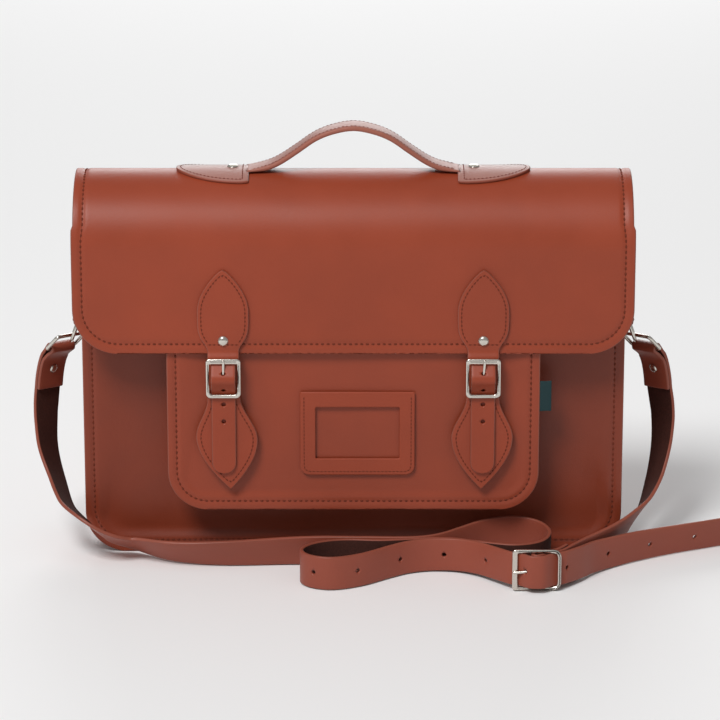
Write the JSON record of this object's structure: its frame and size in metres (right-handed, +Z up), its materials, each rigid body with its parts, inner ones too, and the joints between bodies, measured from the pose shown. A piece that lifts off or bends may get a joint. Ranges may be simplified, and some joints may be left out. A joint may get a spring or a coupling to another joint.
{
  "type": "satchel bag",
  "caption": "Stiff leather satchel with a front pocket and card window, buckled snap closures on a curved flap, a riveted top handle and an adjustable shoulder strap on metal rings.",
  "frame": {"origin": "middle of the bag without its free shoulder strap, on the surface it stands on", "axes": "+Z up, -Y towards the front with the pocket and closures, +X to the right seen from the front"},
  "size_m": [0.5412, 0.1665, 0.3235],
  "materials": {
    "leather": "semi-gloss pebbled chestnut",
    "strap_leather": "smooth satin chestnut with dark edges",
    "nickel": "polished nickel plate",
    "woven": "matt teal weave"
  },
  "bodies": {
    "bag": {"back_panel": "leather", "front_panel": "leather", "gusset": "leather", "pocket_front": "leather", "pocket_gusset": "leather", "card_holder": "leather", "label_tab": "woven", "side_tab_left": "leather", "side_tab_right": "leather", "side_rivet_left": "nickel", "side_rivet_right": "nickel", "snap_base_left": "nickel", "snap_base_right": "nickel", "strap_long": "strap_leather", "strap_short": "strap_leather", "strap_rivet_left": "nickel", "strap_rivet_right": "nickel", "shoulder_buckle": "nickel"},
    "flap": {"flap": "leather", "handle_grip": "leather", "handle_pad_left": "leather", "handle_pad_right": "leather", "handle_rivet_left": "nickel", "handle_rivet_right": "nickel", "upper_leaf_left": "leather", "upper_leaf_right": "leather", "leaf_rivet_left": "nickel", "leaf_rivet_right": "nickel"},
    "closure_left": {"closure_strap_left": "strap_leather", "closure_buckle_left": "nickel", "lower_leaf_left": "leather", "snap_stud_left": "nickel"},
    "prong_left": {"closure_prong_left": "nickel"},
    "d_ring_left": {"d_ring_left": "nickel"},
    "strap_ring_left": {"strap_ring_left": "nickel"},
    "closure_right": {"closure_strap_right": "strap_leather", "closure_buckle_right": "nickel", "lower_leaf_right": "leather", "snap_stud_right": "nickel"},
    "prong_right": {"closure_prong_right": "nickel"},
    "d_ring_right": {"d_ring_right": "nickel"},
    "strap_ring_right": {"strap_ring_right": "nickel"},
    "shoulder_prong": {"shoulder_prong": "nickel"}
  },
  "joints": [
    {"name": "flap_hinge", "type": "hinge", "parent": "bag", "child": "flap", "pos_m": [0, 0.05625, 0.2385], "axis": [-1, 0, 0], "range_deg": [0, 180]},
    {"name": "closure_fold_left", "type": "hinge", "parent": "flap", "child": "closure_left", "pos_m": [-0.095, -0.0458, 0.164], "axis": [-1, 0, 0], "range_deg": [0, 75]},
    {"name": "closure_prong_left", "type": "hinge", "parent": "closure_left", "child": "prong_left", "pos_m": [-0.095, -0.05048, 0.1455], "axis": [1, 0, 0], "range_deg": [0, 15]},
    {"name": "closure_fold_right", "type": "hinge", "parent": "flap", "child": "closure_right", "pos_m": [0.095, -0.0458, 0.164], "axis": [-1, 0, 0], "range_deg": [0, 75]},
    {"name": "closure_prong_right", "type": "hinge", "parent": "closure_right", "child": "prong_right", "pos_m": [0.095, -0.05048, 0.1455], "axis": [1, 0, 0], "range_deg": [0, 15]},
    {"name": "d_ring_swing_left", "type": "hinge", "parent": "bag", "child": "d_ring_left", "pos_m": [-0.205, 0.02015, 0.1715], "axis": [0, 1, 0], "range_deg": [-6, 3]},
    {"name": "strap_ring_swing_left", "type": "hinge", "parent": "bag", "child": "strap_ring_left", "pos_m": [-0.21999, 0.02582, 0.14772], "axis": [-0.6611, -0.7461, 0.08], "range_deg": [-2, 6]},
    {"name": "d_ring_swing_right", "type": "hinge", "parent": "bag", "child": "d_ring_right", "pos_m": [0.205, 0.02015, 0.1715], "axis": [0, 1, 0], "range_deg": [-3, 6]},
    {"name": "strap_ring_swing_right", "type": "hinge", "parent": "bag", "child": "strap_ring_right", "pos_m": [0.21999, 0.02582, 0.14772], "axis": [0.6611, -0.7461, 0.08], "range_deg": [-6, 2]},
    {"name": "shoulder_prong_hinge", "type": "hinge", "parent": "bag", "child": "shoulder_prong", "pos_m": [0.1333, -0.103, 0.0162], "axis": [0, 0, 1], "range_deg": [0, 15]}
  ]
}
